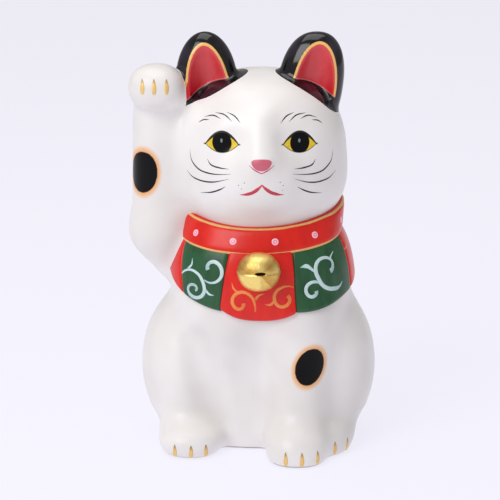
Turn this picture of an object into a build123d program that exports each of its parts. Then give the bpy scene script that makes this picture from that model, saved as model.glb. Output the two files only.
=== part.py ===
"""Beckoning cat figurine, a hollow slip-cast ceramic ornament, in millimetres.

The cat faces -Y and stands on z = 0. The origin is on the plane of symmetry of the head and torso,
in the middle of the foot. Each clay part that the potter joins with slip is one node, and so is the
soft stopper in the drain hole.
"""

import os
from math import cos, pi, radians, sin, tan

from build123d import *

# Wall of the slip-cast shells
wall = 4.2

# Torso: half widths (X), half depths (Y) and how far each section's centre lies behind the origin
foot_half_width = 41.0
foot_half_depth = 36.0
foot_centre_y = 7.0
haunch_z = 30.0
haunch_half_width = 49.0
haunch_half_depth = 40.5
haunch_centre_y = 6.5
waist_z = 60.0
waist_half_width = 38.5
waist_half_depth = 36.0
waist_centre_y = 1.5
shoulder_z = 76.0
shoulder_half_width = 37.5
shoulder_half_depth = 34.5
neck_z = 94.0
neck_half_width = 31.6
neck_half_depth = 31.6

# Head: a turned form, a little narrower front to back
head_half_width = 36.0
head_depth_share = 0.97
head_height = 66.4

# Muzzle pad on the front of the face
muzzle_half_width = 12.0
muzzle_half_height = 10.0
muzzle_stand_out = 3.6
muzzle_rise = 24.0

# Ears
ear_rise = 16.0
ear_root_drop = 26.0
ear_tip_x = 24.0
ear_root_x = 18.6
ear_root_half_width = 16.8
ear_root_half_depth = 11.0
ear_centre_y = -2.0
ear_rim = 3.0
ear_hollow_shift = 6.0

# Raised arm, on the cat's right
arm_stand_off = 7.4
arm_y = -4.0
wrist_half_width = 9.9
forearm_half_width = 11.3
arm_half_depth = 11.5
elbow_drop = 2.0
elbow_tuck = 2.7
wrist_rise = 48.0
arm_wall = 3.6
vent_radius = 2.5
paw_half_width = 11.6
paw_half_depth = 13.0
paw_half_height = 9.6
paw_rise = 60.4
paw_reach = 8.0

# Standing foreleg, on the cat's left
foreleg_x = 15.5
foreleg_half_width = 10.6
foreleg_front_y = -41.0
foreleg_paw_front_y = -51.0
foreleg_paw_half_width = 12.6
foreleg_paw_half_depth = 13.5
foreleg_paw_height = 12.0

# Hind paws
hind_paw_half_width = 13.4
hind_paw_half_depth = 15.0
hind_paw_height = 13.5
right_hind_paw_x = -30.0
right_hind_paw_front_y = -40.5
left_hind_paw_x = 28.0
left_hind_paw_front_y = -36.5

# Tail, a curl laid against the back
tail_x = 16.0
tail_z = 17.0
tail_half_length = 22.0
tail_half_thickness = 7.5

# Collar band, a ring cut by two parallel planes that climb to the back and to the cat's left
collar_height = 10.6
collar_front_drop = 0.6
collar_climb_back = 0.14
collar_climb_left = 0.10
collar_thickness = 3.3

# Bib: eight panels, red and green in turn
bib_thickness = 2.2
bib_hem_drop = 30.2
front_panel_drop = 2.8
front_panel_degrees = 40.0
side_panel_degrees = 43.0
rear_panel_degrees = 60.0

# Bell on the front of the collar
bell_radius = 9.0
bell_height_share = 0.92
bell_drop = 5.6
bell_ridge = 0.7
bell_sink = 2.6
bell_slot_width = 1.1
bell_slot_length = 8.0

# Foot, drain hole and stopper
foot_ring_width = 7.0
foot_recess = 2.6
floor_thickness = 4.2
hole_radius = 11.0
stopper_clearance = 0.05
stopper_flange = 2.6
stopper_flange_thickness = 1.8
stopper_wall = 2.2
stopper_depth = 9.0
stopper_seat_gap = 0.1
grip_width = 3.0
grip_height = 1.2

# Places that follow from the sizes above
head_top_z = neck_z + head_height
ear_tip_z = head_top_z + ear_rise
muzzle_z = neck_z + muzzle_rise
arm_x = -head_half_width - arm_stand_off
elbow_z = neck_z - elbow_drop
wrist_z = neck_z + wrist_rise
paw_z = neck_z + paw_rise
bib_hem_z = neck_z - bib_hem_drop
collar_front_z = neck_z - collar_front_drop
bell_z = collar_front_z - collar_height / 2 - bell_drop

outline_points = 16
cut = 600.0


def ring(station, grow=0.0):
    """Closed outline of one level section: (z, centre x, centre y, half width, half depth)."""
    z, x, y, half_width, half_depth = station
    turns = [2 * pi * i / outline_points for i in range(outline_points)]
    points = [(x + (half_width + grow) * cos(t), y + (half_depth + grow) * sin(t), z) for t in turns]
    return Wire([Edge.make_spline([Vector(*p) for p in points], periodic=True)])


def skin(stations, grow=0.0):
    return Solid.make_loft([ring(s, grow) for s in stations])


def ellipsoid(x, y, z, half_x, half_y, half_z):
    return Pos(x, y, z) * scale(Sphere(1.0), by=(half_x, half_y, half_z))


def slab(low, high):
    """Everything between two levels."""
    return Pos(0, 0, (low + high) / 2) * Box(cut, cut, high - low)


def wedge(start, end):
    """A sector about the Z axis, its angles measured in degrees from the front towards the cat's left."""
    steps = max(1, round((end - start) / 30))
    arc = [radians(start + (end - start) * i / steps - 90) for i in range(steps + 1)]
    points = [(0, 0)] + [(cut * cos(a), cut * sin(a)) for a in arc]
    return Pos(0, 0, -cut / 2) * extrude(make_face(Polyline(*points, close=True)), cut)


def one(shape):
    """The largest solid of a cut shape, so that a crumb left by a cut is dropped."""
    return max(shape.solids(), key=lambda s: s.volume)


def torso_stations():
    return [
        (0.0, 0.0, foot_centre_y, foot_half_width, foot_half_depth),
        (haunch_z * 0.5, 0.0, haunch_centre_y, haunch_half_width - 2.6, haunch_half_depth - 1.7),
        (haunch_z, 0.0, haunch_centre_y, haunch_half_width, haunch_half_depth),
        ((haunch_z + waist_z) / 2, 0.0, (haunch_centre_y + waist_centre_y) / 2,
         (haunch_half_width + waist_half_width) / 2 + 1.4, (haunch_half_depth + waist_half_depth) / 2),
        (waist_z, 0.0, waist_centre_y, waist_half_width, waist_half_depth),
        (shoulder_z, 0.0, 0.0, shoulder_half_width, shoulder_half_depth),
        (neck_z, 0.0, 0.0, neck_half_width, neck_half_depth),
    ]


def head_stations():
    """Level sections of the head above the neck, each with its share of the widest one."""
    shares = [(0.22, 0.965), (0.45, 1.0), (0.68, 0.955), (0.84, 0.815), (0.94, 0.6), (0.99, 0.33),
              (1.0, 0.12)]
    return [(neck_z + head_height * rise, 0.0, 0.0, head_half_width * share,
             head_half_width * head_depth_share * share) for rise, share in shares]


def figure_skin(grow=0.0):
    """Torso and head in one smooth skin, so that what lies on them follows both."""
    return skin(torso_stations() + head_stations(), grow)


def torso_solid():
    return one(figure_skin() & slab(0, neck_z))


def head_solid():
    return one(figure_skin() & slab(neck_z, head_top_z + 1))


def slip_cavity():
    """Hollow of the torso and head, its crown lowered by the wall as its sides are drawn in."""
    middle_z = (neck_z + head_top_z) / 2
    stations = []
    for z, x, y, half_width, half_depth in torso_stations() + head_stations():
        crown = max(0.0, (z - middle_z) / (head_top_z - middle_z))
        if half_width > 2 * wall:
            stations.append((z - wall * crown, x, y, half_width, half_depth))
    inner_floor = foot_recess + floor_thickness
    return one(skin(stations, -wall) & slab(inner_floor, head_top_z))


def muzzle_solid():
    front = -head_half_width * head_depth_share - muzzle_stand_out
    depth = muzzle_stand_out * 3
    return ellipsoid(0, front + depth, muzzle_z, muzzle_half_width, depth, muzzle_half_height)


def ear_stations(side, inset=0.0, shift=0.0):
    """Level sections of one ear, from inside the head to the tip."""
    root_z = head_top_z - ear_root_drop
    shares = [(0.0, 0.98), (0.3, 1.0), (0.6, 0.79), (0.79, 0.55), (0.91, 0.34), (1.0, 0.14)]
    stations = []
    for rise, share in shares:
        z = root_z + (ear_tip_z - inset * 1.6 - root_z) * rise
        x = side * (ear_root_x + (ear_tip_x - ear_root_x) * rise)
        half_width = max(ear_root_half_width * share - inset, 0.6)
        half_depth = max(ear_root_half_depth * (0.25 + 0.75 * share) * share ** 0.25 - inset * 0.4, 0.6)
        stations.append((z, x, ear_centre_y + shift, half_width, half_depth))
    return stations


def ear(side, head, arm):
    outer = skin(ear_stations(side))
    hollow = skin(ear_stations(side, ear_rim, -ear_hollow_shift)) & slab(head_top_z - ear_rise, ear_tip_z)
    return one(outer - hollow - head - arm)


def arm_stations(inset=0.0):
    lift = inset * 1.2
    return [
        (elbow_z - 18 + lift, elbow_tuck - shoulder_half_width, arm_y, 7.0 - inset * 0.5, 9.0 - inset),
        (elbow_z - 9 + lift, arm_x + 4.0, arm_y, forearm_half_width - 0.4 - inset, arm_half_depth + 0.6 - inset),
        (elbow_z + lift, arm_x + 0.6, arm_y, forearm_half_width - inset, arm_half_depth + 0.8 - inset),
        ((elbow_z + wrist_z) / 2, arm_x, arm_y, forearm_half_width - 0.4 - inset, arm_half_depth - inset),
        (wrist_z, arm_x, arm_y, wrist_half_width - inset, arm_half_depth - 1.5 - inset),
        (paw_z - lift, arm_x, arm_y - 1.0, wrist_half_width - 1.2 - inset, arm_half_depth - 3.0 - inset),
    ]


def arm_solid():
    paw = ellipsoid(arm_x, arm_y - paw_reach, paw_z, paw_half_width, paw_half_depth, paw_half_height)
    return skin(arm_stations()) + paw


def arm_vent():
    """Passage that joins the arm's hollow to the torso's, so that air leaves the arm in the kiln."""
    start_x = arm_x + 4
    return Pos((start_x - 10) / 2, arm_y, elbow_z - 8) * Rot(0, 90, 0) * Cylinder(vent_radius, abs(start_x + 10))


def foreleg_solid():
    top_z = bib_hem_z - 4
    depth = foreleg_half_width
    leg = skin([
        (0.0, foreleg_x, foreleg_front_y + depth, foreleg_half_width, depth),
        (top_z * 0.4, foreleg_x + 0.5, foreleg_front_y + depth + 0.6, foreleg_half_width, depth),
        (top_z * 0.75, foreleg_x + 1.8, foreleg_front_y + depth + 3.2, foreleg_half_width + 0.2, depth),
        (top_z, foreleg_x + 2.6, foreleg_front_y + depth + 8.0, foreleg_half_width - 1.2, depth),
    ])
    return leg + paw_on_floor(foreleg_x - 0.6, foreleg_paw_front_y, foreleg_paw_half_width,
                              foreleg_paw_half_depth, foreleg_paw_height)


def paw_on_floor(x, front_y, half_width, half_depth, height):
    """A dome that stands on the floor, a little wider just above it than at it."""
    centre_z = height * 0.3
    dome = ellipsoid(x, front_y + half_depth, centre_z, half_width, half_depth, height - centre_z)
    return dome & slab(0, height + 1)


def tail_solid():
    back = haunch_centre_y + haunch_half_depth
    return ellipsoid(tail_x, back - tail_half_thickness * 0.4, tail_z,
                     tail_half_length, tail_half_thickness, tail_half_thickness)


def collar_plane(offset):
    """Sloped plane across the neck, offset up from the middle of the band."""
    normal = (-collar_climb_left, -collar_climb_back, 1)
    front_y = -neck_half_depth - collar_thickness
    return Plane((0, front_y, collar_front_z + offset), (1, 0, collar_climb_left), normal)


def above_plane(plane):
    return plane * Pos(0, 0, cut / 2) * Box(cut, cut, cut)


def collar_solid():
    lower = above_plane(collar_plane(-collar_height / 2))
    upper = above_plane(collar_plane(collar_height / 2))
    low_z = collar_front_z - collar_height
    band = figure_skin(collar_thickness) & slab(low_z, neck_z + head_height / 2)
    return one((band & lower) - upper)


def bib_cape(hem_z):
    """Whole cape over the torso, from its hem up to the lower edge of the collar."""
    cape = figure_skin(bib_thickness) & slab(hem_z, neck_z + head_height / 2)
    return one(cape - above_plane(collar_plane(-collar_height / 2)))


def bib_panel(start, end, hem_z):
    return bib_cape(hem_z) & wedge(start, end)


def bib_panels():
    """The panels by colour, as lists of solids that still hold the torso."""
    half_front = front_panel_degrees / 2
    first = half_front + side_panel_degrees
    second = 180 - rear_panel_degrees / 2
    green = [(half_front, first), (second - side_panel_degrees, second)]
    green += [(-end, -start) for start, end in green]
    red = [(first, second - side_panel_degrees), (-(second - side_panel_degrees), -first),
           (second, 360 - second)]
    reds = [bib_panel(-half_front, half_front, bib_hem_z - front_panel_drop)]
    reds += [bib_panel(start, end, bib_hem_z) for start, end in red]
    greens = [bib_panel(start, end, bib_hem_z) for start, end in green]
    return reds, greens


def bell_solid():
    front = -shoulder_half_depth - bib_thickness
    y = front - bell_radius + bell_sink * 2.2
    ball = ellipsoid(0, y, bell_z, bell_radius, bell_radius, bell_radius * bell_height_share)
    ridge = Pos(0, y, bell_z) * Cylinder(bell_radius + bell_ridge, bell_ridge * 2)
    slot = Pos(0, y - bell_radius, bell_z - bell_ridge * 2.4) * Box(bell_slot_length, bell_radius, bell_slot_width)
    return ball + ridge - slot


def stopper_solid():
    """Soft cup with a flange and a bar to pull it by."""
    seat_z = foot_recess - stopper_seat_gap
    radius = hole_radius - stopper_clearance
    flange = Pos(0, 0, seat_z - stopper_flange_thickness / 2) * Cylinder(
        hole_radius + stopper_flange, stopper_flange_thickness)
    cup = Pos(0, 0, seat_z + stopper_depth / 2) * Cylinder(radius, stopper_depth)
    inside_depth = stopper_depth - stopper_wall
    inside = Pos(0, 0, seat_z + stopper_depth - inside_depth / 2) * Cylinder(radius - stopper_wall, inside_depth)
    thumb = [Pos(side * (radius - stopper_wall) * 0.55, 0, seat_z - stopper_flange_thickness + grip_height / 2)
             * Cylinder((radius - stopper_wall) * 0.55 - grip_width / 2, grip_height) for side in (-1, 1)]
    return flange + cup - inside - thumb[0] - thumb[1]


def foot_cut():
    """Recess under the foot ring, and the drain hole through the floor."""
    z, x, y, half_width, half_depth = torso_stations()[0]
    recess = Solid.extrude(Face(ring((0.0, x, y, half_width - foot_ring_width, half_depth - foot_ring_width))),
                           Vector(0, 0, foot_recess))
    hole = Pos(0, 0, foot_recess + floor_thickness / 2) * Cylinder(hole_radius, floor_thickness + 2)
    return recess + hole


def build():
    torso = torso_solid()
    head = head_solid() + muzzle_solid()
    cavity = slip_cavity()
    collar_raw = collar_solid()
    reds, greens = bib_panels()
    arm_raw = arm_solid()
    vent = arm_vent()

    nodes = {}
    nodes["body_shell"] = one(torso - cavity - foot_cut() - vent)
    nodes["head_shell"] = one(head - cavity)
    collar = one(collar_raw - torso - head)
    nodes["collar"] = collar
    arm = one(arm_raw - skin(arm_stations(arm_wall)) - vent - torso - head - collar_raw)
    nodes["raised_arm"] = arm
    for name, side in (("right_ear", -1), ("left_ear", 1)):
        nodes[name] = ear(side, head, arm_raw)

    bell_raw = bell_solid()
    red_solids = [one(p - torso - head - arm_raw) for p in reds]
    green_solids = [one(p - torso - head - arm_raw) for p in greens]
    nodes["bib_red_panels"] = Compound(children=red_solids)
    nodes["bib_green_panels"] = Compound(children=green_solids)
    bell_clear = one(bell_raw - torso)
    for neighbour in (collar, red_solids[0]):
        bell_clear = one(bell_clear - neighbour)
    nodes["bell"] = bell_clear

    foreleg_raw = foreleg_solid()
    nodes["left_foreleg"] = one(foreleg_raw - torso)
    for name, x, front in (("right_hind_paw", right_hind_paw_x, right_hind_paw_front_y),
                           ("left_hind_paw", left_hind_paw_x, left_hind_paw_front_y)):
        paw = paw_on_floor(x, front, hind_paw_half_width, hind_paw_half_depth, hind_paw_height)
        nodes[name] = one(paw - torso - foreleg_raw)
    nodes["tail"] = one(tail_solid() - torso)
    nodes["base_stopper"] = one(stopper_solid())
    return nodes


os.makedirs("parts", exist_ok=True)
for node, shape in build().items():
    shape.label = node
    export_step(shape, f"parts/{node}.step")
    print(node, round(shape.volume), "mm3")
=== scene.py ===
import bpy
import numpy as np
from math import radians, sin, cos, pi
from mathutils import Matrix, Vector


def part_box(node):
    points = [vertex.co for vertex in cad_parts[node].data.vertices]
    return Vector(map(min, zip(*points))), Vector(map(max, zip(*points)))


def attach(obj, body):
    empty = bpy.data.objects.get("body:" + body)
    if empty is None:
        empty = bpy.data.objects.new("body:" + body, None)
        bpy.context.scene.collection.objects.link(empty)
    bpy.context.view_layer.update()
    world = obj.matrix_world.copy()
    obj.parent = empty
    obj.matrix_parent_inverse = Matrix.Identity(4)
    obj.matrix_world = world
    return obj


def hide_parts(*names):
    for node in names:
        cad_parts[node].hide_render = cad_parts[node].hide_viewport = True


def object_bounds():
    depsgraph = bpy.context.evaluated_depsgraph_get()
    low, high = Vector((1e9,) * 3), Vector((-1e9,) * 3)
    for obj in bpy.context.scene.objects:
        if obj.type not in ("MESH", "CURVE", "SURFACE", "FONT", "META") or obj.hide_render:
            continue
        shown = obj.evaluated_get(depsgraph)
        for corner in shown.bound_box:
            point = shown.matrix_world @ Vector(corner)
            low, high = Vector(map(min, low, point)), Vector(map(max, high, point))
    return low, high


# Sizes in the dictionaries are millimetres; x runs to the cat's left, y to its back, z up.

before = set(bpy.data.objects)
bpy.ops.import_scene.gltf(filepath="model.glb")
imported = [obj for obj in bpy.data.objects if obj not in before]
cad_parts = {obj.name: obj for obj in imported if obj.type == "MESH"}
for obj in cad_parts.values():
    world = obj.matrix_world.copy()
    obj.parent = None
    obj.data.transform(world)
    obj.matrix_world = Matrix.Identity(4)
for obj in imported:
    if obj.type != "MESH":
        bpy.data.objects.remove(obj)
startBox = [list(c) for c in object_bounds()]
bpy.context.scene.view_settings.view_transform = "Standard"


def boxOf(node):
    low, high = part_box(node)
    return np.array(low) * 1000, np.array(high) * 1000


headBox = boxOf("head_shell")
torsoBox = boxOf("body_shell")
rightPawBox = boxOf("right_hind_paw")
leftPawBox = boxOf("left_hind_paw")
tailBox = boxOf("tail")
stopperBox = boxOf("base_stopper")
headTop = headBox[1][2]
neckZ = headBox[0][2]


class Sock:
    # one socket of a node tree, so that masks can be written as sums and products
    def __init__(self, finish, socket):
        self.finish, self.socket = finish, socket

    def math(self, operation, *others):
        return self.finish.node("ShaderNodeMath", {"operation": operation}, [self, *others])

    def __add__(self, other): return self.math("ADD", other)
    def __radd__(self, other): return self.math("ADD", other)
    def __sub__(self, other): return self.math("SUBTRACT", other)
    def __rsub__(self, other): return self.finish.number(other).math("SUBTRACT", self)
    def __mul__(self, other): return self.math("MULTIPLY", other)
    def __rmul__(self, other): return self.math("MULTIPLY", other)
    def __truediv__(self, other): return self.math("DIVIDE", other)
    def __pow__(self, other): return self.math("POWER", other)
    def __neg__(self): return self.math("MULTIPLY", -1.0)
    def low(self, other): return self.math("MINIMUM", other)
    def high(self, other): return self.math("MAXIMUM", other)
    def size(self): return self.math("ABSOLUTE")
    def root(self): return self.math("SQRT")

    def step(self, start, end):
        # 0 at start, 1 at end, smooth between them; start may be the larger
        return self.finish.node("ShaderNodeMapRange", {"interpolation_type": "SMOOTHSTEP"},
                                {"Value": self, "From Min": start, "From Max": end})


class Finish:
    # a material with one Principled shader, and the few helpers that its nodes need
    def __init__(self, name, roughness=0.2, metallic=0.0):
        self.material = bpy.data.materials.new(name)
        self.material.use_nodes = True
        self.tree = self.material.node_tree
        self.shader = self.tree.nodes["Principled BSDF"]
        self.fix("Roughness", roughness)
        self.fix("Metallic", metallic)
        self.fix("IOR", 1.5)
        self.place = None

    def fix(self, socket, value):
        self.shader.inputs[socket].default_value = value

    def node(self, kind, settings=None, values=None, output=0):
        made = self.tree.nodes.new(kind)
        for key, value in (settings or {}).items():
            if key == "stops":
                while len(made.color_ramp.elements) > 1:
                    made.color_ramp.elements.remove(made.color_ramp.elements[-1])
                for number, (at, colour) in enumerate(value):
                    stop = made.color_ramp.elements[0] if number == 0 else made.color_ramp.elements.new(at)
                    stop.position, stop.color = at, (*colour, 1)
            else:
                setattr(made, key, value)
        pairs = values.items() if isinstance(values, dict) else enumerate(values or [])
        for key, value in pairs:
            if isinstance(value, Sock):
                self.tree.links.new(value.socket, made.inputs[key])
            else:
                made.inputs[key].default_value = value
        return Sock(self, made.outputs[output])

    def number(self, value):
        return self.node("ShaderNodeMath", {"operation": "ADD"}, [value, 0.0])

    def point(self):
        # the three Object coordinates in millimetres
        if not self.place:
            spot = self.node("ShaderNodeTexCoord", output=3)
            self.where = self.node("ShaderNodeVectorMath", {"operation": "SCALE"}, {0: spot, "Scale": 1000.0})
            split = self.tree.nodes.new("ShaderNodeSeparateXYZ")
            self.tree.links.new(self.where.socket, split.inputs[0])
            self.place = [Sock(self, split.outputs[i]) for i in range(3)]
        return self.place

    def noise(self, scale, detail=3.0, roughness=0.55, stretch=None):
        # scale is in features per millimetre
        self.point()
        spot = self.where
        if stretch:
            spot = self.node("ShaderNodeVectorMath", {"operation": "MULTIPLY"}, {0: spot, 1: stretch})
        return self.node("ShaderNodeTexNoise", None,
                         {"Vector": spot, "Scale": scale, "Detail": detail, "Roughness": roughness})

    def attribute(self, name):
        return self.node("ShaderNodeAttribute", {"attribute_name": name}, output=2)

    def mix(self, share, first, second):
        made = self.tree.nodes.new("ShaderNodeMix")
        made.data_type = "RGBA"
        for index, value in ((0, share), (6, first), (7, second)):
            if isinstance(value, Sock):
                self.tree.links.new(value.socket, made.inputs[index])
            elif index:
                made.inputs[index].default_value = (*value, 1)
            else:
                made.inputs[index].default_value = value
        return Sock(self, made.outputs[2])

    def colour(self, value):
        if isinstance(value, Sock):
            self.tree.links.new(value.socket, self.shader.inputs["Base Color"])
        else:
            self.fix("Base Color", (*value, 1))

    def drive(self, socket, value):
        self.tree.links.new(value.socket, self.shader.inputs[socket])

    def over(self, share, colour, roughness, specular):
        # a second paint that lies over the first where share is 1
        paint = self.tree.nodes.new("ShaderNodeBsdfPrincipled")
        settings = {"Base Color": (*colour, 1), "Roughness": roughness, "Specular IOR Level": specular}
        for socket, value in settings.items():
            paint.inputs[socket].default_value = value
        both = self.tree.nodes.new("ShaderNodeMixShader")
        self.tree.links.new(share.socket, both.inputs[0])
        self.tree.links.new(self.shader.outputs[0], both.inputs[1])
        self.tree.links.new(paint.outputs[0], both.inputs[2])
        self.tree.links.new(both.outputs[0], self.tree.nodes["Material Output"].inputs["Surface"])

    def bump(self, height, depth=0.05, strength=1.0):
        # depth is the height in millimetres of a value of 1
        made = self.node("ShaderNodeBump", None,
                         {"Strength": strength, "Distance": depth * 0.001, "Height": height})
        self.drive("Normal", made)


def srgb(red, green, blue):
    def one(value):
        value /= 255
        return value / 12.92 if value <= 0.04045 else ((value + 0.055) / 1.055) ** 2.4
    return one(red), one(green), one(blue)


# The clay forms are distances in millimetres, negative inside, blended as wet clay is at a join.


def softMin(a, b, reach):
    share = np.clip(0.5 + 0.5 * (b - a) / reach, 0, 1)
    return b + (a - b) * share - reach * share * (1 - share)


def softMax(a, b, reach):
    return -softMin(-a, -b, reach)


def egg(p, centre, half, power=2.0):
    q = np.abs((p - np.array(centre, "f4")) / np.array(half, "f4")) + 1e-5
    k = (q ** power).sum(1) ** (1 / power)
    slope = np.sqrt((((q / k[:, None]) ** (power - 1) / np.array(half, "f4")) ** 2).sum(1))
    return (k - 1) / slope


def horn(p, a, b, startRadius, endRadius, flat=(1, 1, 1)):
    # a cone with round ends between two points, squashed by flat
    flat = np.array(flat, "f4")
    a, b, p = np.array(a, "f4") / flat, np.array(b, "f4") / flat, p / flat
    line = b - a
    along = line @ line
    drop = startRadius - endRadius
    slope = along - drop * drop
    away = p - a
    y = away @ line
    z = y - along
    side = away * along - y[:, None] * line
    x2 = (side * side).sum(1)
    y2, z2 = y * y * along, z * z * along
    k = np.sign(drop) * drop * drop * x2
    body = (np.sqrt(x2 * slope / along) + y * drop) / along - startRadius
    result = np.where(np.sign(z) * slope * z2 > k, np.sqrt(x2 + z2) / along - endRadius, body)
    result = np.where(np.sign(y) * slope * y2 < k, np.sqrt(x2 + y2) / along - startRadius, result)
    return result * flat.min() ** 0.5


headForm = {
    "half": (36.0, 35.2, 35.6), "power": 2.25, "cheekDrop": 11.0, "cheekHalf": (33.5, 31.5, 22.0),
    "muzzleAt": (-0.2, -31.0, 119.5), "muzzleHalf": (13.5, 9.0, 12.0), "muzzleBlend": 7.0,
    "bridgeTop": (-0.2, -28.6, 142.0), "bridgeEnd": (-0.2, -35.6, 128.0), "bridgeRadius": 4.8,
    "noseAt": (-0.2, -40.0, 127.0), "noseHalf": (3.9, 1.6, 2.6),
    "socketX": 16.0, "socketZ": 135.0, "socketY": -39.6, "socketHalf": (10.0, 6.0, 7.5), "socketBlend": 7.0,
}
torsoForm = {
    "chestAt": (0.0, 0.0, 66.0), "chestHalf": (38.2, 35.2, 40.0), "chestPower": 2.6,
    "hipAt": (-0.8, 7.0, 22.0), "hipHalf": (43.0, 35.2, 44.0), "hipPower": 2.3, "hipBlend": 12.0,
    "haunchAt": (30.5, -1.0, 32.5), "haunchHalf": (20.0, 27.0, 32.0), "haunchBlend": 6.5, "haunchShift": -1.2,
    "shinTop": (30.5, -10.0, 26.0), "shinEnd": (30.0, -17.5, 8.0), "shinRadius": 12.0,
    "neckBlend": 5.0, "taper": 0.075, "taperFrom": 16.0,
    # the hollow between thigh and foreleg, and the crease along the front of the right thigh
    "lapAt": (-4.0, -42.6, 29.0), "lapHalf": (13.0, 13.8, 30.0), "lapBlend": 7.0,
    "creaseTop": (-29.5, -30.8, 48.0), "creaseEnd": (-18.0, -31.8, 13.0),
    "creaseRadius": 5.2, "creaseBlend": 6.0,
}
armForm = {
    "shoulder": (-36.0, -1.5, 80.5), "elbow": (-42.2, -3.5, 92.5), "wrist": (-43.6, -4.0, 142.0),
    "shoulderRadius": 11.2, "elbowRadius": 12.9, "wristRadius": 10.6,
    "pawAt": (-43.9, -10.5, 154.0), "pawHalf": (11.7, 12.2, 10.0), "pawBlend": 3.5,
    "headBlend": 11.0, "torsoBlend": 6.0,
}
earForm = {
    "at": (20.2, -3.5, 154.0), "half": (13.6, 9.2, 22.4), "lean": 0.12, "leanFrom": 160.0,
    "scoopAt": (22.0, -15.5, 152.5), "scoopHalf": (9.4, 9.8, 24.6), "scoopPower": 1.8,
    "rimRounding": 1.2, "blend": 2.4, "paintAt": (20.0, -4.5), "paintHalf": (14.3, 12.2),
    # the two ears were set on by hand, so they differ a little; foot is where the black paint ends
    "right": {"shift": 3.0, "width": 0.97, "power": 2.0, "lean": 0.03, "foot": 149.0},
    "left": {"shift": 0.9, "width": 1.02, "power": 2.3, "lean": 0.12, "foot": 142.5}, "scoopShift": 0.9,
}


def earHand(x):
    return earForm["right" if x < 0 else "left"]


legForm = {
    "top": (17.5, -24.0, 60.0), "end": (15.4, -30.0, 10.0), "topRadius": 11.0, "endRadius": 12.0,
    "pawAt": (14.8, -38.2, 5.0), "pawHalf": (12.6, 12.8, 9.8), "blend": 8.0, "pawBlend": 9.0,
}
hindForm = {"lift": 5.5, "blend": 6.5, "rightHalf": (13.4, 14.0), "leftHalf": (11.0, 13.0), "leftShift": -4.8}
footForm = {"edge": 1.3, "ringWidth": 7.0, "recess": 2.6, "hole": 11.0, "hollowAt": (0.0, 5.0, 36.0),
            "hollowHalf": (33.0, 28.0, 29.0)}


def side(p, x):
    # the points as seen from one side of the cat, so that one form serves both
    return p * np.array((np.sign(x), 1, 1), "f4")


def headDistance(p):
    f = headForm
    centre = (0, 0, headTop - f["half"][2])
    d = egg(p, centre, f["half"], f["power"])
    d = softMin(d, egg(p, (0, -1.5, centre[2] - f["cheekDrop"]), f["cheekHalf"]), 8.0)
    for x in (-1, 1):
        socket = egg(side(p, x), (f["socketX"], f["socketY"], f["socketZ"]), f["socketHalf"])
        d = softMax(d, -socket, f["socketBlend"])
    d = softMin(d, egg(p, f["muzzleAt"], f["muzzleHalf"]), f["muzzleBlend"])
    d = softMin(d, horn(p, f["bridgeTop"], f["bridgeEnd"], 3.6, f["bridgeRadius"]), 7.0)
    return softMin(d, egg(p, f["noseAt"], f["noseHalf"]), 2.2)


def torsoDistance(p):
    f = torsoForm
    p = p.astype("f4")
    p[:, 0] /= 1 - f["taper"] * np.clip(1 - p[:, 2] / f["taperFrom"], 0, 1)
    d = softMin(egg(p, f["chestAt"], f["chestHalf"], f["chestPower"]),
                egg(p, f["hipAt"], f["hipHalf"], f["hipPower"]), f["hipBlend"])
    for x in (-1, 1):
        q = side(p - np.array((f["haunchShift"], 0, 0), "f4"), x)
        haunch = egg(q, f["haunchAt"], f["haunchHalf"])
        shin = horn(q, f["shinTop"], f["shinEnd"], f["shinRadius"], f["shinRadius"])
        d = softMin(d, softMin(haunch, shin, 8.0), f["haunchBlend"])
    d = softMax(d, -egg(p, f["lapAt"], f["lapHalf"]), f["lapBlend"])
    crease = horn(p, f["creaseTop"], f["creaseEnd"], f["creaseRadius"], f["creaseRadius"])
    return softMax(d, -crease, f["creaseBlend"])


def armDistance(p):
    f = armForm
    upper = horn(p, f["shoulder"], f["elbow"], f["shoulderRadius"], f["elbowRadius"])
    fore = horn(p, f["elbow"], f["wrist"], f["elbowRadius"], f["wristRadius"])
    return softMin(softMin(upper, fore, 6.0), egg(p, f["pawAt"], f["pawHalf"], 2.2), f["pawBlend"])


def earSide(p, x, shift, lean, width=1.0):
    # upright coordinates of one ear, with its outward lean taken out
    q = side(p, x).astype("f4")
    q[:, 0] -= lean * (q[:, 2] - earForm["leanFrom"]) + shift + earForm["at"][0]
    q[:, 0] = q[:, 0] / width + earForm["at"][0]
    return q


def earCone(p, x):
    f, hand = earForm, earHand(x)
    return egg(earSide(p, x, hand["shift"], hand["lean"], hand["width"]), f["at"], f["half"], hand["power"])


def earScoop(p, x):
    f = earForm
    return egg(earSide(p, x, f["scoopShift"], f["lean"]), f["scoopAt"], f["scoopHalf"], f["scoopPower"])


def legDistance(p):
    f = legForm
    leg = horn(p, f["top"], f["end"], f["topRadius"], f["endRadius"])
    return softMin(leg, egg(p, f["pawAt"], f["pawHalf"], 2.2), f["pawBlend"])


def hindDistance(p, x):
    box, half, shift = (rightPawBox, hindForm["rightHalf"], 0) if x < 0 else (leftPawBox, hindForm["leftHalf"],
                                                                             hindForm["leftShift"])
    low, high = box
    centre = ((low + high) / 2)[0] + shift, low[1] + half[1] + 0.2, hindForm["lift"]
    return egg(p, centre, (*half, high[2] - hindForm["lift"]), 2.2)


def tailDistance(p):
    low, high = tailBox
    middle = (low + high) / 2
    reach = (high[0] - low[0]) / 2
    start = (middle[0] - reach * 0.75, middle[1] - 2, middle[2] - 4)
    bend = (middle[0] + reach * 0.25, middle[1] + 0.5, middle[2] - 1)
    tip = (middle[0] + reach * 0.62, middle[1] - 3, middle[2] + 5)
    return softMin(horn(p, start, bend, 6.6, 6.0), horn(p, bend, tip, 6.0, 4.6), 4.0)


clayNames = ["head", "torso", "arm", "rightEar", "leftEar", "foreleg", "rightHindPaw", "leftHindPaw", "tail"]


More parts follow.
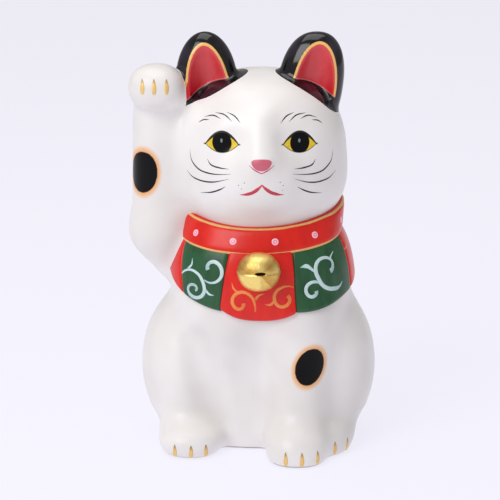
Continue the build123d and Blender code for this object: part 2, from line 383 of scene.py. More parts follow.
def clayParts(p):
    parts = [headDistance(p), torsoDistance(p), armDistance(p), earCone(p, -1), earCone(p, 1), legDistance(p),
             hindDistance(p, -1), hindDistance(p, 1), tailDistance(p)]
    return parts


def labelParts(p):
    # the black paint of an ear comes some way down onto the head
    parts = clayParts(p)
    f = earForm
    for label, x in ((3, -1), (4, 1)):
        q = side(p, x) * np.array((1, 1, 0), "f4")
        patch = egg(q, (*f["paintAt"], 0), (*f["paintHalf"], 1e4))
        parts[label] = np.minimum(parts[label], softMax(patch, earHand(x)["foot"] - p[:, 2], 5.0))
    return np.stack(parts)


def figureDistance(p):
    head, torso, arm, rightEar, leftEar, leg, rightPaw, leftPaw, tail = clayParts(p)
    torso = softMin(torso, leg, legForm["blend"])
    torso = softMin(torso, softMin(rightPaw, leftPaw, 1.0), hindForm["blend"])
    torso = softMin(torso, tail, 3.0)
    d = softMin(head, torso, torsoForm["neckBlend"])
    for ear, x in ((rightEar, -1), (leftEar, 1)):
        d = softMin(d, softMax(ear, -earScoop(p, x), earForm["rimRounding"]), earForm["blend"])
    # the arm's web is wide beside the cheek and narrow at the shoulder
    share = np.clip((p[:, 2] - neckZ) / 14, 0, 1)
    reach = armForm["torsoBlend"] + (armForm["headBlend"] - armForm["torsoBlend"]) * share
    reach = reach * np.clip((159 - p[:, 2]) / 11, 0.12, 1)
    d = softMin(d, arm, reach)
    f = footForm
    d = softMax(d, -p[:, 2], f["edge"])
    centre, half = (torsoBox[0] + torsoBox[1]) / 2, (torsoBox[1] - torsoBox[0]) / 2
    ring = egg(p * np.array((1, 1, 0), "f4"), (0, centre[1], 0),
               (half[0] - 8 - f["ringWidth"], half[1] - 5 - f["ringWidth"], 1e4))
    d = softMax(d, -np.maximum(ring, p[:, 2] - f["recess"]), 0.8)
    hole = np.maximum(np.hypot(p[:, 0], p[:, 1]) - f["hole"], np.abs(p[:, 2] - 8) - 12)
    return np.maximum(d, -np.minimum(hole, egg(p, f["hollowAt"], f["hollowHalf"])))


def slopeOf(field, p, step=0.08):
    slope = np.empty_like(p)
    for axis in range(3):
        shift = np.zeros(3, "f4")
        shift[axis] = step
        slope[:, axis] = (field(p + shift) - field(p - shift)) / (2 * step)
    return slope


def facingOf(field, p, step=0.08):
    facing = slopeOf(field, p, step)
    return facing / (np.linalg.norm(facing, axis=1)[:, None] + 1e-9)


def settle(field, p, rounds=3):
    # moves points onto the surface of a field
    for _ in range(rounds):
        slope = slopeOf(field, p)
        p = p - slope * (np.clip(field(p), -1, 1) / np.maximum((slope ** 2).sum(1), 0.05))[:, None]
    return p


def wrapField(field, low, high, cell):
    # one point in each cell that the surface passes through, joined by four-sided faces
    counts = np.ceil((high - low) / cell).astype(int) + 1
    axes = [low[i] + cell * np.arange(counts[i]) for i in range(3)]
    values = np.empty(counts, "f4")
    flat = np.stack(np.meshgrid(axes[0], axes[1], indexing="ij"), -1).reshape(-1, 2).astype("f4")
    for start in range(0, counts[2], 8):
        layer = axes[2][start:start + 8]
        grid = np.empty((len(flat), len(layer), 3), "f4")
        grid[:, :, :2] = flat[:, None]
        grid[:, :, 2] = layer
        values[:, :, start:start + 8] = field(grid.reshape(-1, 3)).reshape(counts[0], counts[1], -1)
    inside = values < 0
    corners = [(i, j, k) for i in (0, 1) for j in (0, 1) for k in (0, 1)]
    spans = [slice(0, -1), slice(1, None)]
    total = sum(inside[spans[i], spans[j], spans[k]].astype("i1") for i, j, k in corners)
    active = np.argwhere((total > 0) & (total < 8))
    index = np.full(total.shape, -1, "i4")
    index[tuple(active.T)] = np.arange(len(active))
    got = {c: values[tuple((active + c).T)] for c in corners}
    spot, hits = np.zeros((len(active), 3)), np.zeros(len(active))
    for a in corners:
        for axis in range(3):
            if a[axis]:
                continue
            b = tuple(1 if i == axis else a[i] for i in range(3))
            crossed = (got[a] < 0) != (got[b] < 0)
            share = np.where(crossed, got[a] / np.where(crossed, got[a] - got[b], 1), 0)
            step = np.array(a, float)[None] + share[:, None] * np.eye(3)[axis]
            spot += step * crossed[:, None]
            hits += crossed
    points = low + cell * (active + spot / hits[:, None])
    faces = []
    for axis in range(3):
        u, v = (axis + 1) % 3, (axis + 2) % 3
        near = tuple(spans[0] if i == axis else slice(1, -1) for i in range(3))
        far = tuple(spans[1] if i == axis else slice(1, -1) for i in range(3))
        for inner, outer, order in ((near, far, 1), (far, near, -1)):
            at = np.argwhere(inside[inner] & ~inside[outer])
            base = at.copy()
            base[:, [u, v]] += 1
            ring = []
            for du, dv in ((-1, -1), (0, -1), (0, 0), (-1, 0)):
                cellAt = base.copy()
                cellAt[:, u] += du
                cellAt[:, v] += dv
                ring.append(index[tuple(cellAt.T)])
            faces.append(np.stack(ring, 1)[:, ::order])
    return points.astype("f4"), np.concatenate(faces)


def newPiece(name, points, faces, normals=None):
    mesh = bpy.data.meshes.new(name)
    mesh.from_pydata((np.asarray(points, float) * 0.001).tolist(), [], [list(map(int, f)) for f in faces])
    mesh.validate()
    mesh.polygons.foreach_set("use_smooth", [True] * len(mesh.polygons))
    mesh.update()
    piece = bpy.data.objects.new(name, mesh)
    bpy.context.scene.collection.objects.link(piece)
    if normals is not None and len(normals) == len(mesh.vertices):
        mesh.normals_split_custom_set_from_vertices([tuple(map(float, n)) for n in normals])
    return piece


def addFloat(piece, name, values):
    layer = piece.data.attributes.new(name, "FLOAT", "POINT")
    layer.data.foreach_set("value", np.asarray(values, "f4"))


def dress(piece, finish, body, node):
    piece.data.materials.append(finish.material)
    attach(piece, body)
    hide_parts(node)
    return piece


glazeLook = {"white": srgb(240, 237, 235), "shade": srgb(231, 227, 224), "speck": srgb(200, 190, 180),
             "toasted": srgb(150, 128, 112), "roughness": 0.34, "halo": srgb(240, 170, 92), "haloWidth": 2.2,
             "blackPaint": srgb(9, 7, 10), "blackGloss": (0.26, 0.16)}
spotLook = {
    "arm": {"at": (-49.2, -11.0, 118.4), "half": (6.4, 9.5, 9.2), "lean": 0.06},
    "foreleg": {"at": (20.1, -37.0, 40.3), "half": (6.0, 12.0, 8.0), "lean": 0.38},
}
# glint is the colour of a painted highlight in the pupils
eyeLook = {"right": (-16.4, 133.8), "left": (15.5, 133.9), "halfWidth": 6.8, "upper": 4.7, "lower": 3.6,
           "pupil": (3.9, 4.3), "yellow": srgb(236, 206, 50), "amber": srgb(216, 178, 36),
           "lid": srgb(22, 17, 17), "dark": srgb(9, 10, 13), "glint": srgb(150, 175, 170)}
noseLook = {"at": (-0.2, 127.2), "half": (3.9, 2.4), "flare": 0.3, "pink": srgb(205, 100, 120)}


def paintSpot(m, colour, spot):
    # a black spot in a burnt orange halo
    x, y, z = m.point()
    f = spotLook[spot]
    dx, dy, dz = x - f["at"][0], y - f["at"][1], z - f["at"][2]
    u = dx * cos(f["lean"]) - dz * sin(f["lean"])
    w = dx * sin(f["lean"]) + dz * cos(f["lean"])
    reach = ((u / f["half"][0]) ** 2.0 + (dy / f["half"][1]) ** 2.0 + (w / f["half"][2]) ** 2.0).root()
    reach = reach + (m.noise(0.5, 2.0) * 0.05 - 0.025)
    m.over(reach.step(1.02, 0.96), glazeLook["blackPaint"], *glazeLook["blackGloss"])
    halo = reach.step(1.0 + glazeLook["haloWidth"] / f["half"][0], 1.02)
    return m.mix(halo * 0.85, colour, glazeLook["halo"])


def paintEyes(m, colour, front):
    x, y, z = m.point()
    e = eyeLook
    pupils, glints = [], []
    for key, outer in (("right", -1.0), ("left", 1.0)):
        u, w = (x - e[key][0]) * outer, z - e[key][1]
        # the almond: an upper and a lower arc that meet at the corners
        share = u / e["halfWidth"]
        arc = 1.0 - (share * share).low(1.0)
        top = w - (arc * e["upper"] - share * 0.25)
        foot = -(w + arc * e["lower"] * 0.92 + share * 0.2)
        between = share.size().step(1.02, 0.97)
        almond = top.high(foot).step(0.16, -0.16) * front * between
        colour = m.mix(almond, colour, m.mix(m.noise(0.7).step(0.3, 0.8), e["yellow"], e["amber"]))
        pupil = ((u / e["pupil"][0]) ** 2.0 + ((w - 0.7) / e["pupil"][1]) ** 2.0).root()
        pupils.append(pupil.step(1.06, 0.97) * almond)
        colour = m.mix(pupils[-1], colour, e["dark"])
        # painted highlight: a small pale glint painted into each pupil, on the same side in both eyes
        glint = (((u * outer + 0.2) / 0.5) ** 2.0 + ((w - 1.5) / 0.9) ** 2.0).root()
        glints.append(glint.step(1.2, 0.7) * front)
        colour = m.mix(glints[-1] * 0.55, colour, e["glint"])
        inside = share.size().step(1.16, 1.02) * front
        upperLid = (top.size() - (0.34 + arc * 0.5)).step(0.14, -0.14) * inside
        lowerLid = (foot.size() - 0.22).step(0.12, -0.12) * inside
        colour = m.mix(upperLid.high(lowerLid * 0.8), colour, e["lid"])
    # the black over-paint leaves the painted highlights clear
    black = pupils[0].high(pupils[1]) * (1.0 - glints[0].high(glints[1]))
    m.over(black, e["dark"], *glazeLook["blackGloss"])
    return colour


def paintNose(m, colour, front):
    # the pad is wider at its top than at its foot
    x, y, z = m.point()
    n = noseLook
    w = (z - n["at"][1]) / n["half"][1]
    u = ((x - n["at"][0]) / (w * n["flare"] + 1.0) / n["half"][0]).size()
    pad = (u ** 2.6 + w.size() ** 2.2).root()
    return m.mix(pad.step(1.08, 0.94) * front, colour, n["pink"])


def glazeFinish(name, spot=None, face=False):
    m = Finish(name, roughness=glazeLook["roughness"])
    m.fix("Specular IOR Level", 0.42)
    x, y, z = m.point()
    cloud = m.noise(0.035, 2.0)
    colour = m.mix(cloud.step(0.35, 0.7), glazeLook["white"], glazeLook["shade"])
    speck = m.noise(0.9, 2.0).step(0.74, 0.78)
    colour = m.mix(speck * 0.25, colour, glazeLook["speck"])
    # a thin toasted line where the glaze was wiped off the foot
    wiped = z.step(1.2, 0.6)
    colour = m.mix(wiped * 0.85, colour, glazeLook["toasted"])
    if spot:
        colour = paintSpot(m, colour, spot)
    if face:
        front = y.step(-14.0, -18.0)
        colour = paintNose(m, paintEyes(m, colour, front), front)
    m.colour(colour)
    m.drive("Roughness", m.noise(0.12, 3.0) * 0.09 + (glazeLook["roughness"] - 0.045) + wiped * 0.4)
    m.bump(m.noise(0.16, 2.0), 0.05)
    return m


# sheen is a painted reflection colour, mixed in patches into the black
earLook = {"black": srgb(12, 10, 14), "sheen": srgb(52, 44, 62), "red": srgb(216, 66, 72),
           "redLow": srgb(216, 26, 40), "gold": srgb(238, 190, 112), "pink": srgb(226, 140, 150),
           "sill": 166.2, "sillSlope": 0.497, "sillMiddle": 22.0, "sillHalf": 9.0, "sillArch": 1.6}


def earFinish():
    m = Finish("ear enamel", roughness=0.2)
    x, y, z = m.point()
    scoop = m.attribute("scoop")
    # painted sheen: lighter patches mixed into the black stand in for a soft reflection
    colour = m.mix(m.noise(0.09, 2.0).step(0.45, 0.75) * 0.6, earLook["black"], earLook["sheen"])
    # the red ends on a slanting sill, a little arched, and black goes on below it
    out = x.size()
    arch = ((out - earLook["sillMiddle"]) / earLook["sillHalf"]) ** 2.0 * earLook["sillArch"]
    sill = z - (earLook["sill"] - out * earLook["sillSlope"]) + arch
    above = sill.step(-0.25, 0.25)
    red = scoop.step(0.75, 0.55) * scoop.step(-0.95, -0.7) * above
    low = z.step(159.0, 151.0)
    shade = m.mix(low, earLook["red"], earLook["redLow"])
    shade = m.mix(m.noise(0.35, 4.0).step(0.4, 0.8) * 0.3, shade, srgb(190, 50, 60))
    colour = m.mix(red, colour, shade)
    gold = (scoop - 1.0).size().step(0.55, 0.4) * above
    colour = m.mix(gold, colour, earLook["gold"])
    pink = sill.size().step(0.32, 0.1) * scoop.step(0.5, 0.3)
    colour = m.mix(pink * 0.6, colour, earLook["pink"])
    m.colour(colour)
    m.drive("Roughness", m.noise(0.15) * 0.08 + 0.08 + red * 0.12)
    m.bump(m.noise(0.2, 2.0), 0.05)
    return m


def drawJoins(points, faces, labels):
    # points on the line between two forms are drawn onto that line, so that each join is clean
    owner, label = faces.ravel(), np.repeat(labels, 4)
    lowest, highest = np.full(len(points), len(clayNames)), np.full(len(points), -1)
    np.minimum.at(lowest, owner, label)
    np.maximum.at(highest, owner, label)
    border = np.where((lowest != highest) & (highest >= 0))[0]
    first, second, rows = lowest[border], highest[border], np.arange(len(border))

    def gap(p):
        parts = labelParts(p)
        return parts[first, rows] - parts[second, rows]

    for _ in range(4):
        p = points[border]
        facing, tilt = facingOf(figureDistance, p), slopeOf(gap, p)
        tilt -= facing * (tilt * facing).sum(1)[:, None]
        move = -tilt * (gap(p) / np.maximum((tilt ** 2).sum(1), 0.08))[:, None]
        length = np.linalg.norm(move, axis=1)[:, None]
        move *= np.minimum(1, cell * 0.7 / np.maximum(length, 1e-6))
        points[border] = settle(figureDistance, (p + move).astype("f4"), 1)
    return points


cell = 1.05
low, high = [np.array(corner) * 1000 for corner in startBox]
points, faces = wrapField(figureDistance, low - 3 * cell, high + 3 * cell, cell)
points = settle(figureDistance, points)
labels = np.argmin(labelParts(points[faces].mean(1).astype("f4")), 0)
points = drawJoins(points, faces, labels)
normals = facingOf(figureDistance, points)
print("wrapped the clay:", len(points), "points")


def claySkin(label):
    mine = faces[labels == label]
    used, compact = np.unique(mine, return_inverse=True)
    mine = compact.reshape(mine.shape)
    spots, turned = points[used], normals[used]
    # the wall is one millimetre thick, closed along its rim where it is luted to its neighbours
    starts, ends = mine.ravel(), np.roll(mine, -1, 1).ravel()
    pairs = {(a, b) for a, b in zip(starts.tolist(), ends.tolist())}
    rims = np.array([(a, b) for a, b in pairs if (b, a) not in pairs]).reshape(-1, 2)
    count = len(spots)
    rim = np.stack([rims[:, 1], rims[:, 0], rims[:, 0] + count, rims[:, 1] + count], 1)
    wall = np.concatenate([mine, mine[:, ::-1] + count, rim])
    both = np.concatenate([spots, spots - turned * clayWall])
    return both, wall.tolist(), np.concatenate([turned, -turned])


clayWall = 1.0
whiteGlaze = glazeFinish("white glaze")
faceGlaze = glazeFinish("painted face glaze", face=True)
armGlaze = glazeFinish("arm glaze with spot", spot="arm")
legGlaze = glazeFinish("foreleg glaze with spot", spot="foreleg")
earEnamel = earFinish()
clayDress = {
    "head": (faceGlaze, "head_shell", "white_glaze"), "torso": (whiteGlaze, "body_shell", "white_glaze"),
    "arm": (armGlaze, "raised_arm", "white_glaze"), "rightEar": (earEnamel, "right_ear", "black_enamel"),
    "leftEar": (earEnamel, "left_ear", "black_enamel"), "foreleg": (legGlaze, "left_foreleg", "white_glaze"),
    "rightHindPaw": (whiteGlaze, "right_hind_paw", "white_glaze"),
    "leftHindPaw": (whiteGlaze, "left_hind_paw", "white_glaze"), "tail": (whiteGlaze, "tail", "white_glaze"),
}
clay = {}
for label, name in enumerate(clayNames):
    spots, patch, turned = claySkin(label)
    piece = newPiece(name, spots, patch, turned)
    if "Ear" in name:
        addFloat(piece, "scoop", earScoop(spots.astype("f4"), -1 if name == "rightEar" else 1))
    finish, node, slot = clayDress[name]
    clay[name] = dress(piece, finish, "figure", node)
    print("piece", name, len(piece.data.polygons), "faces")


bandForm = {
    "frontZ": 92.9, "lean": 0.8, "climb": 7.4, "half": 5.6, "thick": 2.5, "tuck": 1.0,
    "columns": 240, "rows": 20,
}
bibForm = {
    "rows": 30, "top": 0.6, "relief": 1.7, "frontRelief": 2.2, "edge": 1.5, "tuck": 1.2,
    # height and climb of the hem on the cat's right and left, its height behind, and the front panel's
    "rightHem": (63.6, 9.0), "leftHem": (63.8, 5.0), "backHem": 71.0, "frontHem": (59.8, 4.4),
}


def coreDistance(p):
    torso = softMin(torsoDistance(p), legDistance(p), legForm["blend"])
    # the bib rides up a little over the root of the raised arm
    shoulder = armDistance(p) + 3.6 + np.maximum(p[:, 2] - 82, 0) * 1.2
    return softMin(headDistance(p), softMin(torso, shoulder, 5.0), torsoForm["neckBlend"])


def skinRadius(angle, z):
    # how far the clay reaches from the upright axis, at an angle in degrees from the front towards +X
    turn = np.radians(angle - 90)
    away = np.stack([np.cos(turn), np.sin(turn)], -1)
    near, far = np.full(angle.shape, 12.0), np.full(angle.shape, 60.0)
    for _ in range(26):
        middle = (near + far) / 2
        p = np.concatenate([(away * middle[..., None]).reshape(-1, 2), z.reshape(-1, 1)], 1).astype("f4")
        inside = coreDistance(p).reshape(angle.shape) < 0
        near, far = np.where(inside, middle, near), np.where(inside, far, middle)
    return near


def around(angle, radius, z):
    turn = np.radians(angle - 90)
    return np.stack([np.cos(turn) * radius, np.sin(turn) * radius, z], -1)


def gridFaces(rows, columns, closed):
    found = []
    for i in range(rows - 1):
        for j in range(columns if closed else columns - 1):
            k = (j + 1) % columns
            found.append((i * columns + j, i * columns + k, (i + 1) * columns + k, (i + 1) * columns + j))
    return found


def bandCentre(angle):
    # the band is lowest in front and climbs towards the nape
    turn = np.radians(angle - 90)
    back = np.sin(turn) + 1
    return bandForm["frontZ"] + bandForm["lean"] * np.cos(turn) + bandForm["climb"] * back * (1 - back / 4)


def collarPoints(angle, across):
    # across runs from -1 at the lower edge to 1 at the upper one; returns points on the band's face
    f = bandForm
    z = bandCentre(angle) + across * f["half"]
    swell = f["thick"] * np.clip(1 - np.abs(across) ** 5, 0, 1) ** 0.5
    # the face of the band runs straight from edge to edge over the hollow of the neck
    low, high = [skinRadius(angle, bandCentre(angle) + end * f["half"]) for end in (-1, 1)]
    straight = low + (high - low) * (across + 1) / 2
    return around(angle, np.maximum(skinRadius(angle, z), straight) + swell, z)


def collarPiece():
    f = bandForm
    angles = np.arange(f["columns"]) * 360 / f["columns"]
    rowShare = -np.cos(np.linspace(0, pi, f["rows"]))
    face = collarPoints(np.tile(angles, (f["rows"], 1)), np.tile(rowShare[:, None], (1, f["columns"])))
    inner = []
    for share in (0.8, 0.0, -0.8):
        z = bandCentre(angles) + share * f["half"]
        inner.append(around(angles, skinRadius(angles, z) - f["tuck"], z))
    rows = np.concatenate([face, np.array(inner)])
    start = (len(rows) - 1) * f["columns"]
    found = gridFaces(len(rows), f["columns"], True)
    for j in range(f["columns"]):
        k = (j + 1) % f["columns"]
        found.append((start + j, start + k, k, j))
    return newPiece("collar", rows.reshape(-1, 3), found)


collar = collarPiece()


def panelHem(angle):
    # the hem's height round the chest; angles run from -180 to 180, with the cat's left positive
    f = bibForm
    sideways = (angle + 180) % 360 - 180
    away = np.abs(sideways)
    low = np.where(sideways < 0, f["rightHem"][0], f["leftHem"][0])
    climb = np.where(sideways < 0, f["rightHem"][1], f["leftHem"][1])
    hem = low + climb * (np.clip(away - 24, 0, 54) / 40) ** 1.5
    share = np.clip((away - 78) / 60, 0, 1)
    share = share * share * (3 - 2 * share)
    return hem * (1 - share) + f["backHem"] * share


def frontHem(angle):
    low, climb = bibForm["frontHem"]
    return low + climb * (np.abs(angle + 1.5) / 24) ** 2.6


def bibPanel(start, end, hemLine=panelHem, relief=None):
    # start and end are the angles of the panel's two sides, each at the collar and at the hem
    f = bibForm
    relief = relief or f["relief"]
    columns, rows = max(14, int(abs(end[0] - start[0]) * 0.9)), f["rows"]
    u = (1 - np.cos(np.linspace(0, pi, columns))) / 2
    v = ((1 - np.cos(np.linspace(0, pi, rows))) / 2)[:, None]
    first = start[1] + (start[0] - start[1]) * v
    last = end[1] + (end[0] - end[1]) * v
    angle = first + (last - first) * u
    hem = hemLine(angle)
    top = bandCentre(angle) - bandForm["half"] * f["top"]
    z = hem + (top - hem) * v
    radius = skinRadius(angle, z)
    sideGap = np.minimum(angle - first, last - angle) * pi / 180 * radius
    fall = np.clip(sideGap / f["edge"], 0, 1)
    foot = np.clip((z - hem) / f["edge"], 0, 1)
    rise = np.sqrt(np.clip(1 - (1 - fall) ** 2, 0, 1)) * 0.55 + 0.45
    hemRise = np.sqrt(np.clip(1 - (1 - foot) ** 2, 0, 1))
    lift = relief * rise * hemRise + 0.5 * (1 - v) ** 2 * hemRise
    outer = around(angle, radius + np.where(hemRise <= 0, -0.2, lift), z)
    inner = around(angle, radius - f["tuck"], z)
    both = np.concatenate([outer.reshape(-1, 3), inner.reshape(-1, 3)])
    n = columns * rows
    skin = gridFaces(rows, columns, False)
    found = skin + [tuple(i + n for i in reversed(q)) for q in skin]
    rim = [j for j in range(columns)] + [i * columns + columns - 1 for i in range(1, rows)]
    rim += [(rows - 1) * columns + j for j in range(columns - 2, -1, -1)]
    rim += [i * columns for i in range(rows - 2, 0, -1)]
    for a, b in zip(rim, rim[1:] + rim[:1]):
        found.append((b, a, a + n, b + n))
    return both, found


def joinSolids(solids):
    allPoints, allFaces, count = [], [], 0
    for spots, found in solids:
        allPoints.append(spots)
        allFaces += [tuple(i + count for i in q) for q in found]
        count += len(spots)
    return np.concatenate(allPoints), allFaces


# eight panels; each seam is an angle at the collar and one at the hem
seams = [(-22.5, -26.5), (21.3, 20.8), (65.5, 65.0), (108.0, 107.0), (150.0, 150.0), (210.0, 210.0),
         (255.0, 262.0), (298.5, 308.0)]
spans = list(zip(seams, seams[1:])) + [(seams[-1], (337.5, 333.5))]
redPanels = [bibPanel(*spans[0], frontHem, bibForm["frontRelief"])] + [bibPanel(*spans[i]) for i in (2, 4, 6)]
greenPanels = [bibPanel(*spans[i]) for i in (1, 3, 5, 7)]
bibRed = newPiece("bibRedPanels", *joinSolids(redPanels))
bibGreen = newPiece("bibGreenPanels", *joinSolids(greenPanels))


def enamelFinish(name, base, deep, roughness=0.3):
    m = Finish(name, roughness=roughness)
    m.fix("Specular IOR Level", 0.4)
    flow = m.noise(0.22, 3.0, stretch=(1.0, 1.0, 0.35))
    m.colour(m.mix(flow.step(0.35, 0.72) * 0.7, base, deep))
    m.drive("Roughness", m.noise(0.3) * 0.1 + (roughness - 0.05))
    m.bump(m.noise(0.35, 3.0, stretch=(1.0, 1.0, 0.3)), 0.07)
    return m


redEnamel = enamelFinish("red overglaze enamel", srgb(226, 36, 24), srgb(208, 26, 18))
greenEnamel = enamelFinish("green overglaze enamel", srgb(42, 90, 56), srgb(28, 68, 42))
dress(collar, redEnamel, "figure", "collar")
dress(bibRed, redEnamel, "figure", "bib_red_panels")
dress(bibGreen, greenEnamel, "figure", "bib_green_panels")
print("collar and bib moulded")


bellForm = {"radius": 8.8, "height": 8.1, "at": (-1.3, -41.5, 82.6), "depth": 7.8, "lip": (0.45, 0.9),
            "slotWidth": 4.4, "slotHeight": 1.3,
            "slotAt": (0.8, 0.9), "slotDepth": 2.2, "sheenAt": (0.6, 0.7),
            # painted reflection: how dark the brushed gold is painted round the bell, bright and dark sectors
            # that stand in for its reflections, as (share of a turn, darkness) pairs
            "brushedReflectionSweeps": [(0.0, 0.55), (0.02, 0.15), (0.2, 0.05), (0.25, 0.2), (0.27, 0.45), (0.34, 0.35),
                       (0.36, 0.75), (0.46, 0.6), (0.5, 0.35), (0.56, 0.45), (0.6, 0.7), (0.68, 0.25),
                       (0.78, 0.1), (0.86, 0.5), (0.97, 0.7)]}


def bellDistance(p):
    f = bellForm
    ball = egg(p, f["at"], (f["radius"], f["depth"], f["height"]), 2.15)
    out, halfHeight = f["lip"]
    lip = egg(p, f["at"], (f["radius"] + out, f["depth"] + out, halfHeight), 2.0)
    ball = softMin(ball, lip, 0.5)
    slot = egg(p, (f["at"][0] + f["slotAt"][0], f["at"][1] - f["depth"], f["at"][2] + f["slotAt"][1]),
               (f["slotWidth"] / 2, f["slotDepth"], f["slotHeight"] / 2))
    return softMax(ball, -slot, 0.25)


def bellPiece():
    centre, room = np.array(bellForm["at"]), np.array((11, 10, 10))
    spots, found = wrapField(bellDistance, centre - room, centre + room, 0.45)
    spots = settle(bellDistance, spots)
    return newPiece("bell", spots, found.tolist(), facingOf(bellDistance, spots, 0.05))


bell = bellPiece()


def bellFinish():
    m = Finish("bell gold", roughness=0.3, metallic=1.0)
    x, y, z = m.point()
    light, dark = srgb(255, 226, 138), srgb(186, 132, 52)
    # brush streaks about the sound hole, with painted reflection: bright and dark sectors and arcs painted into
    # the gold, lighter and darker by turns
    dx = x - bellForm["at"][0] - bellForm["sheenAt"][0]
    dz = z - bellForm["at"][2] - bellForm["sheenAt"][1]
    turn = m.node("ShaderNodeMath", {"operation": "ARCTAN2"}, [dz, dx])
    reach = (dx * dx + dz * dz).root()
    turned = m.node("ShaderNodeCombineXYZ", None, {"X": turn * 3.0, "Y": reach * 0.3, "Z": reach * 0.1})
    streak = m.node("ShaderNodeTexNoise", None, {"Vector": turned, "Scale": 2.2, "Detail": 4.0})
    brushedReflectionSweeps = m.node("ShaderNodeValToRGB", {"stops": [(at, (v, v, v)) for at, v in bellForm["brushedReflectionSweeps"]]},
                    [turn / (2 * pi) + 0.5])
    # painted reflection: arcs painted on the upper half of the bell
    rings = (reach * 1.4 + streak * 3.0).math("SINE") * dz.step(-0.5, 1.5) * 0.09
    patch = brushedReflectionSweeps * 0.75 + streak * 0.3 + rings
    colour = m.mix(patch.step(0.1, 0.95), light, dark)
    slit = ((dx / 2.3) ** 2.0 + ((dz - 0.2) / 0.6) ** 2.0).root().step(1.05, 0.85)
    colour = m.mix(slit * 0.92, colour, srgb(64, 38, 12))
    m.colour(colour)
    m.drive("Metallic", patch * -0.15 + 0.95)
    m.drive("Roughness", patch * 0.14 + 0.34)
    m.bump(streak, 0.12)
    return m


dress(bell, bellFinish(), "figure", "bell")


plugForm = {"shank": 10.95, "lip": 1.8, "wall": 2.2, "gripDepth": 1.2, "bead": 0.35, "sides": 96}


def stopperPiece():
    # half of the section, from the middle of the grip round to the middle of the cup's floor
    f = plugForm
    low, high = stopperBox
    flange, shank, inner = (high[0] - low[0]) / 2, f["shank"], f["shank"] - f["wall"]
    foot, top, seat = low[2], high[2], low[2] + f["lip"]
    grip, floorZ = foot + f["gripDepth"], seat + f["wall"]
    profile = [(0.0, grip), (inner - 0.8, grip), (inner - 0.2, foot + 0.3), (inner + 0.3, foot),
               (flange - 0.5, foot), (flange - 0.1, foot + 0.2), (flange, foot + 0.6),
               (flange, seat - 0.4), (flange - 0.3, seat), (shank + 0.05, seat), (shank, seat + 0.08),
               (shank, seat + 2.5), (shank - f["bead"], seat + 3.2), (shank, seat + 3.9),
               (shank, top - 0.8), (shank - 0.4, top), (inner + 0.4, top), (inner, top - 0.4),
               (inner, floorZ + 0.6), (inner - 0.6, floorZ), (0.0, floorZ)]
    count, rings = f["sides"], len(profile) - 2
    spots = [(0, 0, profile[0][1])]
    for r, z in profile[1:-1]:
        spots += [(r * cos(2 * pi * j / count), r * sin(2 * pi * j / count), z) for j in range(count)]
    spots.append((0, 0, profile[-1][1]))
    found = [(0, 1 + (j + 1) % count, 1 + j) for j in range(count)]
    for i in range(rings - 1):
        a, b = 1 + i * count, 1 + (i + 1) * count
        found += [(a + j, a + (j + 1) % count, b + (j + 1) % count, b + j) for j in range(count)]
    a, last = 1 + (rings - 1) * count, len(spots) - 1
    found += [(a + j, a + (j + 1) % count, last) for j in range(count)]
    return newPiece("baseStopper", np.array(spots), found)


stopper = stopperPiece()
rubber = Finish("stopper rubber", roughness=0.55)
rubber.colour(rubber.mix(rubber.noise(0.4).step(0.3, 0.7), srgb(206, 202, 194), srgb(188, 183, 174)))
rubber.drive("Roughness", rubber.noise(0.8) * 0.15 + 0.48)
rubber.bump(rubber.noise(2.2, 2.0), 0.06)
dress(stopper, rubber, "stopper", "base_stopper")
print("bell and stopper made")


